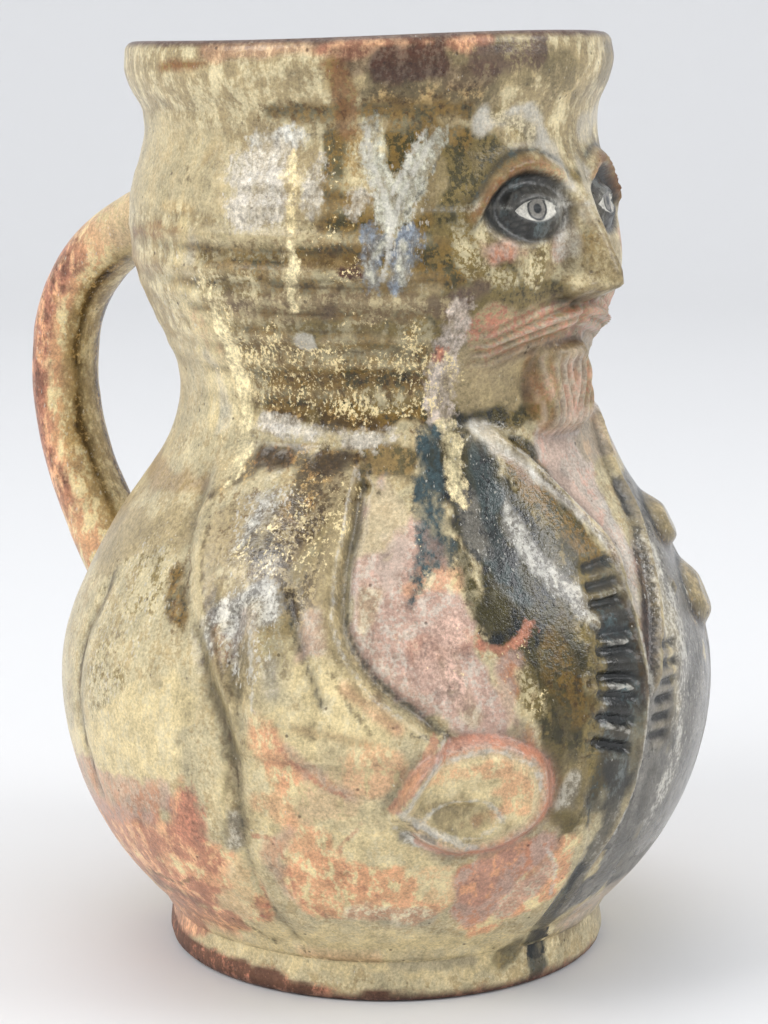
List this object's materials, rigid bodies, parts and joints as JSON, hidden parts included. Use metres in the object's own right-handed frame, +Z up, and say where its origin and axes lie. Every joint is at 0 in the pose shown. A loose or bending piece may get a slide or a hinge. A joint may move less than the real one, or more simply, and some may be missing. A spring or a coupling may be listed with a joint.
{
  "type": "figural face pitcher",
  "caption": "Hollow stoneware pitcher with a man's face on the neck, a coat in relief on the belly and a strap handle; stands on a flat foot and pours over a pushed-out lip.",
  "frame": {"origin": "centre of the flat underside of the foot", "axes": "+Z up out of the mouth, -Y towards the face, +Y towards the handle, +X to the face's left"},
  "size_m": [0.1853, 0.2204, 0.252],
  "materials": {
    "glazed_stoneware": "glossy ash glaze over brown stoneware, cream to olive, with pink, blue and black runs"
  },
  "bodies": {
    "root": {"pitcher": "glazed_stoneware"}
  },
  "joints": []
}
